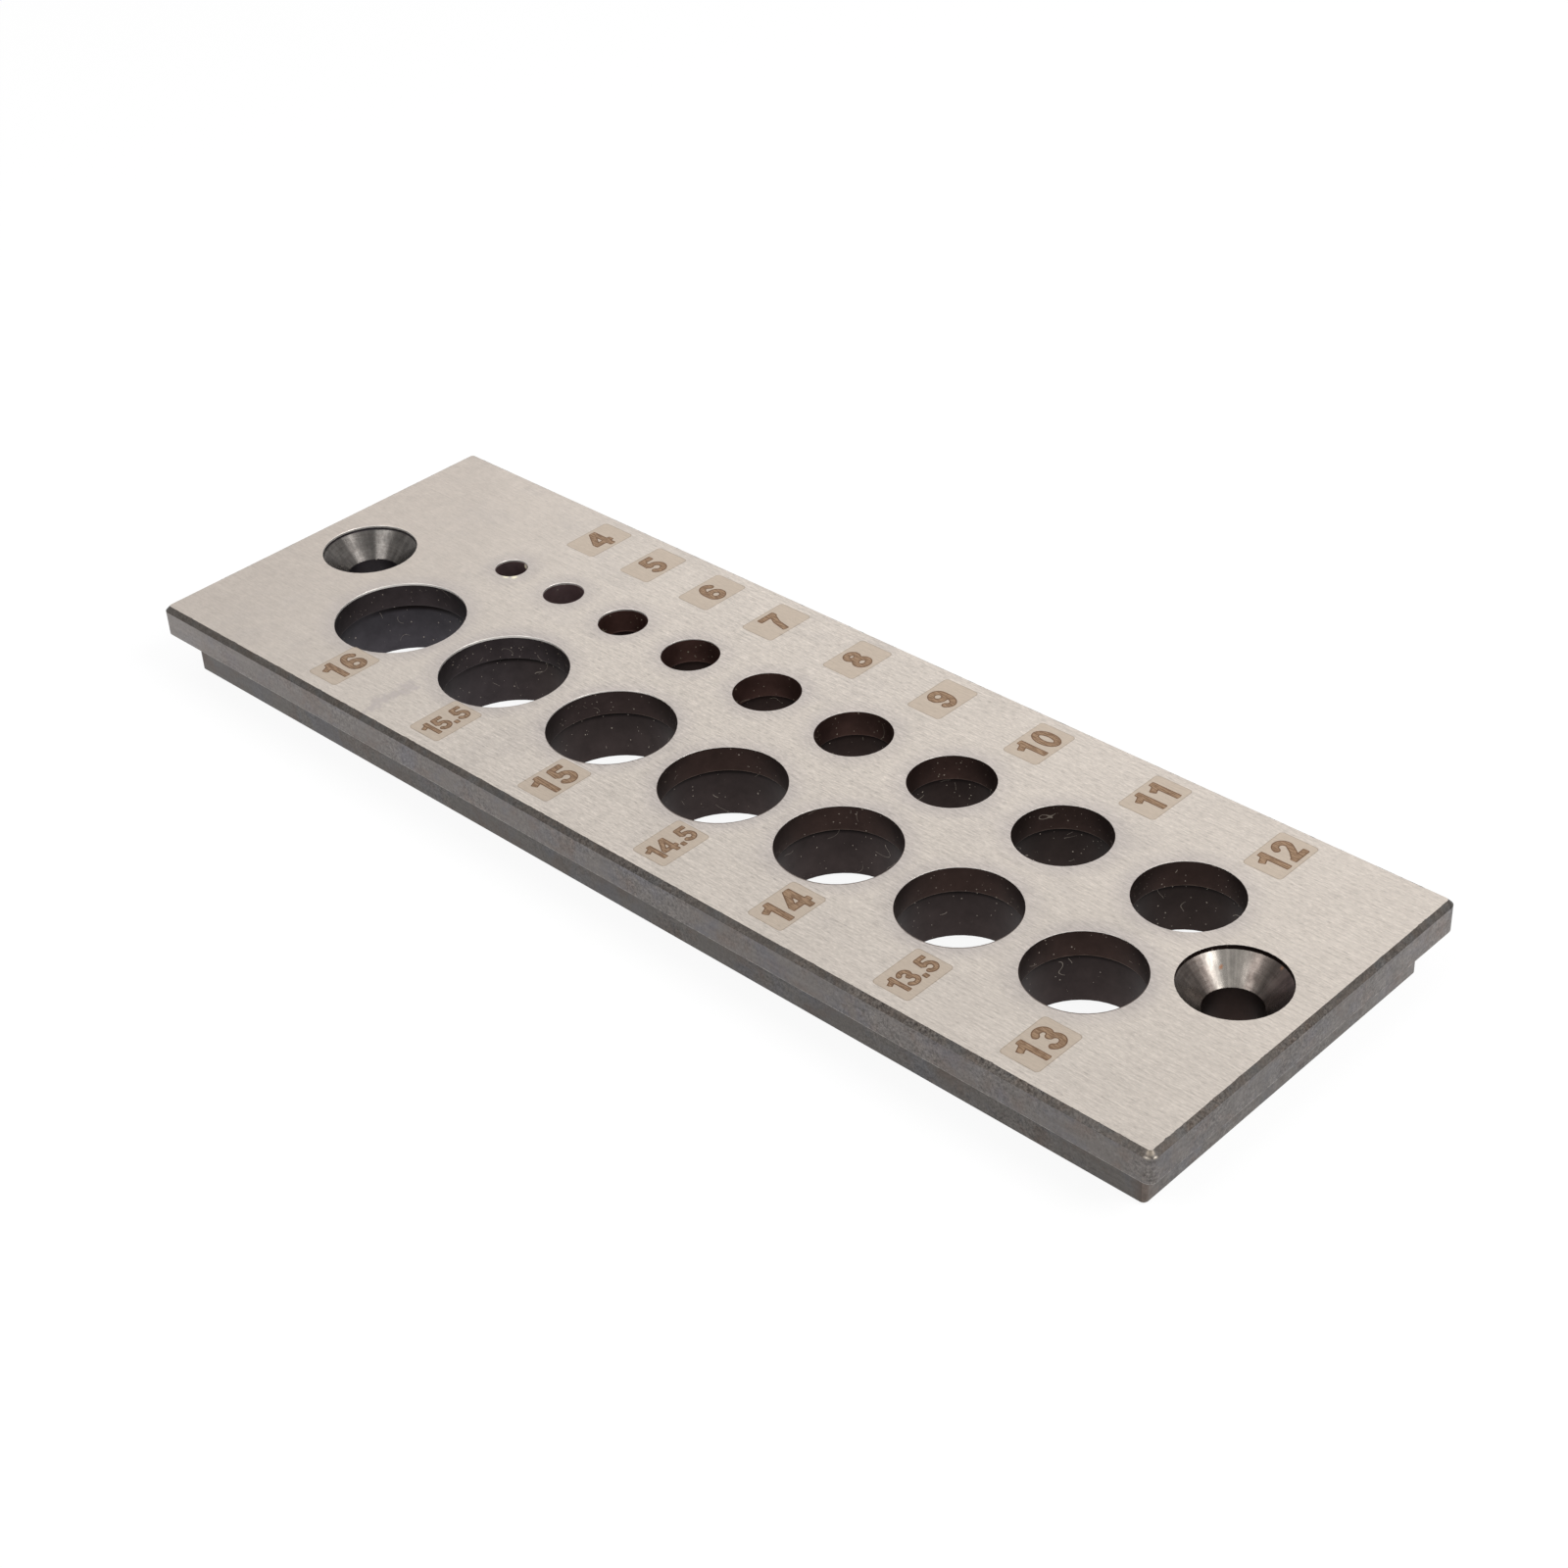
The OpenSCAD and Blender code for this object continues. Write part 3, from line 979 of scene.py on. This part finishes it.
# a flat figure cut from a raised grid at two levels: dark edge outside, lighter core inside
def figureMesh(width, strokes, edge, step=0.0125, spare=6, flatness=0.01):
    columns, rows = int(width / step) + 2 * spare, int(1 / step) + 2 * spare
    across, up = np.meshgrid((np.arange(columns) - spare) * step, (np.arange(rows) - spare) * step)
    field = np.min([strokeField(stroke, across, up) for stroke in strokes], axis=0)
    for axis in (0, 1, 0, 1):  # softens the corners
        field = (np.roll(field, 1, axis) + 2 * field + np.roll(field, -1, axis)) / 4
    bm = bmesh.new()
    points = [bm.verts.new(spot) for spot in np.stack([across, up, field], -1).reshape(-1, 3).tolist()]
    for row in range(rows - 1):
        for column in range(columns - 1):
            a = row * columns + column
            corner = [points[a], points[a + 1], points[a + columns + 1], points[a + columns]]
            bm.faces.new(corner[:3])
            bm.faces.new([corner[0], corner[2], corner[3]])
    for level, drop in ((0.0, True), (-edge, False)):
        everything = bm.verts[:] + bm.edges[:] + bm.faces[:]
        bmesh.ops.bisect_plane(bm, geom=everything, plane_co=(0, 0, level), plane_no=(0, 0, 1),
                               clear_outer=drop)
    for face in bm.faces:
        face.material_index = coreSlot if face.calc_center_median().z < -edge else edgeSlot
    for vert in bm.verts:
        vert.co.z = 0
    bmesh.ops.dissolve_limit(bm, angle_limit=flatness, verts=bm.verts, edges=bm.edges, delimit={"MATERIAL"})
    mesh = bpy.data.meshes.new("figure")
    bm.to_mesh(mesh)
    bm.free()
    return mesh


def roundedLoop(size, corner, steps=8):
    spots = []
    for sideX, sideY, start in ((1, 1, 0), (-1, 1, 90), (-1, -1, 180), (1, -1, 270)):
        middle = (sideX * (size[0] / 2 - corner), sideY * (size[1] / 2 - corner))
        spots += bend(middle, (corner, corner), start, start + 90, steps)
    return spots


def addPatch(bm, plan, x, y):
    height = (topFace + plan["patchLift"]) * mm
    loops = []
    for inward in (0.0, plan["rimWidth"]):
        spots = roundedLoop([side - 2 * inward for side in plan["patchSize"]], plan["patchCorner"] - inward)
        loops.append([bm.verts.new(((x + u) * mm, (y + v) * mm, height)) for u, v in spots])
    outer, inner = loops
    bm.faces.new(inner).material_index = patchSlot
    for i in range(len(outer)):
        bm.faces.new([outer[i - 1], outer[i], inner[i], inner[i - 1]]).material_index = rimSlot


# the figures of one size, written towards the plate's back, with their tops to the left
def addFigures(bm, plan, text, x, y, meshes):
    kind = "half" if "." in text else "whole"
    height = plan[kind + "Height"]
    gap = plan[kind + "Gap"] * height
    widths = [figures[figure][0] * height for figure in text]
    start = y - (sum(widths) + gap * (len(text) - 1)) / 2
    for figure, width in zip(text, widths):
        if (figure, kind) not in meshes:
            meshes[figure, kind] = figureMesh(*figures[figure], plan["edgeWidth"] / height)
        count = len(bm.verts)
        bm.from_mesh(meshes[figure, kind])
        bm.verts.ensure_lookup_table()
        for vert in bm.verts[count:]:
            u, v = vert.co.x * height, (vert.co.y - 0.5) * height
            vert.co = Vector((x - v, start + u, topFace + plan["burnLift"])) * mm
        start += width + gap


def layMarks(plan):
    materials = [markMaterial(plan, name) for name in plan["finishes"]]
    meshes = {}
    for text, past in plan["past"].items():
        name = text.replace(".", "_")
        bore = bores["bore_" + name]["pos_m"]
        x = bore[0] / mm + past
        y = halfWidth - plan["backInset"] if bore[1] > 0 else plan["frontInset"] - halfWidth
        bm = bmesh.new()
        addPatch(bm, plan, x, y)
        addFigures(bm, plan, text, x, y, meshes)
        for face in bm.faces:
            face.normal_update()
            if face.normal.z < 0:
                face.normal_flip()
        mesh = bpy.data.meshes.new("mark_" + name)
        bm.to_mesh(mesh)
        bm.free()
        for material in materials:
            mesh.materials.append(material)
        mark = bpy.data.objects.new("mark_" + name, mesh)
        scene.collection.objects.link(mark)
        slab = mark.modifiers.new("slab", "SOLIDIFY")
        slab.thickness = plan["slab"] * mm
        slab.offset = -1.0  # downwards, into the plate
        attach(mark, "root")


layMarks(markPlan)
print("dowel plate: size marks laid")


# pale floor and white surround, lifted to white only where they are seen
stagePlan = {
    "floorHalf": 2.0,  # metres
    "floorColour": 0.92,
    "lift": 0.87,
    "liftLevel": 1.02,
    "worldLevel": 0.6,
    "seenLevel": 1.0,
    "white": (1, 1, 1, 1),
}


def seenDirectly(sheet):
    path = sheet.put("ShaderNodeLightPath").outputs
    return sheet.most(path["Is Camera Ray"], path["Is Glossy Ray"], path["Is Transmission Ray"])


def buildStage(plan):
    half = plan["floorHalf"]
    corners = [(-half, -half, 0), (half, -half, 0), (half, half, 0), (-half, half, 0)]
    mesh = bpy.data.meshes.new("floor")
    mesh.from_pydata(corners, [], [(0, 1, 2, 3)])
    floor = bpy.data.objects.new("floor", mesh)
    scene.collection.objects.link(floor)
    material, sheet = newMaterial("paleFloor")
    level = plan["floorColour"]
    matte = sheet.put("ShaderNodeBsdfDiffuse", {"Color": (level, level, level, 1)})
    glow = sheet.put("ShaderNodeEmission", {"Color": plan["white"], "Strength": plan["liftLevel"]})
    share = sheet.both(seenDirectly(sheet), plan["lift"])
    mixed = sheet.put("ShaderNodeMixShader", {0: share, 1: matte.outputs[0], 2: glow.outputs[0]})
    sheet.put("ShaderNodeOutputMaterial", {"Surface": mixed.outputs[0]})
    mesh.materials.append(material)

    world = bpy.data.worlds.new("paleSurround")
    scene.world = world
    world.use_nodes = True
    world.node_tree.nodes.clear()
    sheet = NodeSheet(world.node_tree)
    level = sheet.between(seenDirectly(sheet), plan["worldLevel"], plan["seenLevel"])
    sky = sheet.put("ShaderNodeBackground", {"Color": plan["white"], "Strength": level})
    sheet.put("ShaderNodeOutputWorld", {"Surface": sky.outputs[0]})


# soft lamps: degrees from the plate's right end and above the floor, metres and watts
lampPlan = [
    {"name": "rightSoftbox", "aside": 15, "height": 46, "away": 0.70, "size": 0.34, "watts": 2.7},
    {"name": "frontSoftbox", "aside": -95, "height": 50, "away": 0.70, "size": 0.28, "watts": 1.4},
]


def hangLamps(plan):
    for lamp in plan:
        data = bpy.data.lights.new(lamp["name"], "AREA")
        data.shape = "SQUARE"
        data.size = lamp["size"]
        data.energy = lamp["watts"]
        light = bpy.data.objects.new(lamp["name"], data)
        scene.collection.objects.link(light)
        turn, tilt = math.radians(lamp["aside"]), math.radians(lamp["height"])
        outward = Vector((math.cos(turn) * math.cos(tilt), math.sin(turn) * math.cos(tilt), math.sin(tilt)))
        light.location = outward * lamp["away"]
        light.rotation_mode = "QUATERNION"
        light.rotation_quaternion = (-outward).to_track_quat("-Z", "Y")


buildStage(stagePlan)
hangLamps(lampPlan)
print("dowel plate: stage and lamps set")
